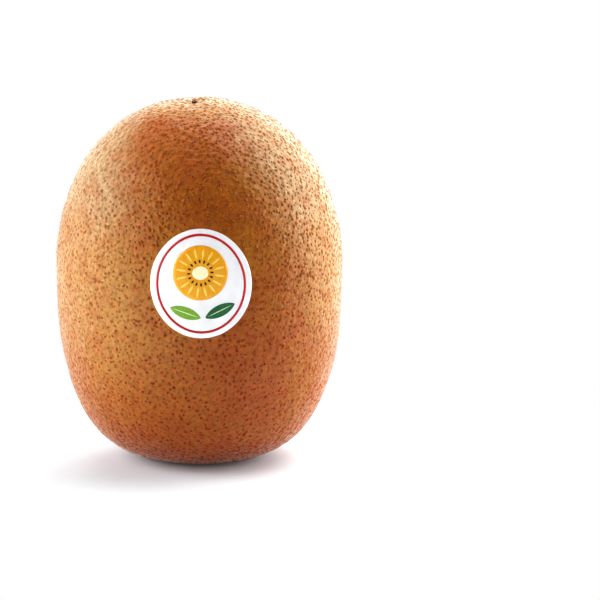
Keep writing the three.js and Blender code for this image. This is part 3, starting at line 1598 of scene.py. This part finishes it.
@dataclass
class Studio:
    """The floor, the pale surroundings, the lights and the camera. Sizes are in metres.

    A fade holds the distances from the fruit over which the floor disappears: seen_fade for the
    camera alone, and floor_fade for the light too.
    """

    floor_radius: float = 0.6
    floor_rings: int = 40
    floor_sides: int = 96
    seen_fade: tuple[float, float] = (0.0, 0.078)
    floor_fade: tuple[float, float] = (0.2, 0.55)
    paper_colour: str = "#EAF0F5"
    paper_roughness: float = 0.8
    surroundings: float = 0.0
    backdrop: float = 1.0
    white: str = "#FFFFFF"
    aim_height: float = 0.036
    camera_elevation: float = 12.0
    camera_distance: float = 0.7
    camera_aim: tuple[float, float, float] = (0.02, 0.0, 0.0314)
    focal_length: float = 210.8
    sensor_width: float = 36.0
    clip: tuple[float, float] = (0.05, 10.0)
    gamma: float = 0.75
    softboxes: tuple[Softbox, ...] = (
        Softbox("softbox_left_front", -40, 10, 2.7),
        Softbox("softbox_left", -100, 10, 6.0, "#EAF4FC"),
        Softbox("softbox_left_high", -70, 35, 4.0),
        Softbox("softbox_rear_left", -160, 10, 2.8),
        Softbox("softbox_rear_right", 160, 10, 6.8),
        Softbox("softbox_right", 100, 10, 7.4),
        Softbox("softbox_right_high", 110, 35, 2.5),
        Softbox("softbox_top_right", 120, 62, 4.8),
        Softbox("softbox_top_rear", 180, 62, 3.4),
    )

    def build(self) -> None:
        """Makes all of the studio."""
        self._floor(self._paper())
        self._world()
        for softbox in self.softboxes:
            softbox.build(Vector((0, 0, self.aim_height)))
        self._camera()
        view = bpy.context.scene.view_settings
        view.view_transform = "Standard"
        view.gamma = self.gamma

    def _paper(self) -> Material:
        """White studio paper: matt and even, and melting into the surroundings further out.

        Returns:
            The material.
        """
        material, tree = new_material("studio_paper_white")
        place = add_node(tree, "TexCoord").outputs["Object"]
        away = add_node(tree, "VectorMath", {"operation": "LENGTH"}, {0: place}).outputs["Value"]
        fades = [
            add_node(tree, "MapRange", *Change(*fade).of(away)).outputs["Result"]
            for fade in (self.seen_fade, self.floor_fade)
        ]
        seen = add_node(tree, "LightPath").outputs["Is Camera Ray"]
        unseen = add_node(tree, "Math", {"operation": "MULTIPLY"}, {0: seen, 1: fades[0]})
        total = {0: unseen.outputs[0], 1: fades[1]}
        clear = add_node(tree, "Math", {"operation": "ADD", "use_clamp": True}, total).outputs[0]
        dull = {"Base Color": linear(self.paper_colour), "Roughness": self.paper_roughness}
        paper = add_node(tree, "BsdfPrincipled", None, dull).outputs["BSDF"]
        air = add_node(tree, "BsdfTransparent").outputs["BSDF"]
        surface = add_node(tree, "MixShader", None, {0: clear, 1: paper, 2: air}).outputs["Shader"]
        add_node(tree, "OutputMaterial", None, {"Surface": surface})
        return material

    def _floor(self, material: Material) -> None:
        """A round sweep of paper: rings round a middle point, with a fan inside the first one.

        Args:
            material: the paper.
        """
        shares = np.linspace(0, 1, self.floor_rings + 1)[1:, None, None]
        angles = np.linspace(0, TURN, self.floor_sides, endpoint=False)
        circle = np.stack([np.cos(angles), np.sin(angles), 0 * angles], -1)
        rings = shares * circle * self.floor_radius
        points = np.concatenate([np.zeros((1, 3)), rings.reshape(-1, 3)])
        side = np.arange(self.floor_sides)
        fan = np.stack([0 * side, 1 + side, 1 + (side + 1) % self.floor_sides], -1)
        outward = 1 + grid_triangles(self.floor_rings, self.floor_sides)[:, ::-1]
        mesh = bpy.data.meshes.new("studio_floor")
        mesh.from_pydata(points, [], np.concatenate([fan, outward]))
        mesh.materials.append(material)
        floor = bpy.data.objects.new("studio_floor", mesh)
        bpy.context.scene.collection.objects.link(floor)

    def _world(self) -> None:
        """Light from all round at the surroundings' strength, and a pale backdrop where the camera
        sees it.
        """
        world = bpy.data.worlds.new("studio_surroundings")
        bpy.context.scene.world = world
        world.use_nodes = True
        tree = world.node_tree
        tree.nodes.clear()
        seen = add_node(tree, "LightPath").outputs["Is Camera Ray"]
        light, pale = [
            add_node(
                tree, "Background", None, {"Color": linear(self.white), "Strength": strength}
            ).outputs[0]
            for strength in (self.surroundings, self.backdrop)
        ]
        mixed = add_node(tree, "MixShader", None, {0: seen, 1: light, 2: pale}).outputs[0]
        add_node(tree, "OutputWorld", None, {"Surface": mixed})

    def _camera(self) -> None:
        """A long lens in front of the fruit, a little above it."""
        camera = bpy.data.cameras.new("camera")
        camera.lens = self.focal_length
        camera.sensor_width = self.sensor_width
        camera.clip_start, camera.clip_end = self.clip
        aim = Vector(self.camera_aim)
        holder = stand("camera", camera, aim, 0.0, self.camera_elevation, self.camera_distance)
        bpy.context.scene.camera = holder


def main() -> None:
    """Builds the fruit, its label and the studio, and reports each of them."""
    logging.basicConfig(level=logging.INFO, format="%(name)s: %(message)s")
    form = FruitForm()
    form.fit_to(*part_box("fruit"))
    label = Label(form)
    parts = [Skin(form), Lenticels(form, label), label, BlossomScar(form), StalkScar(form)]
    for part in (*parts, Studio()):
        part.build()
        LOG.info("%s: built", type(part).__name__)


if __name__ == "__main__":
    main()
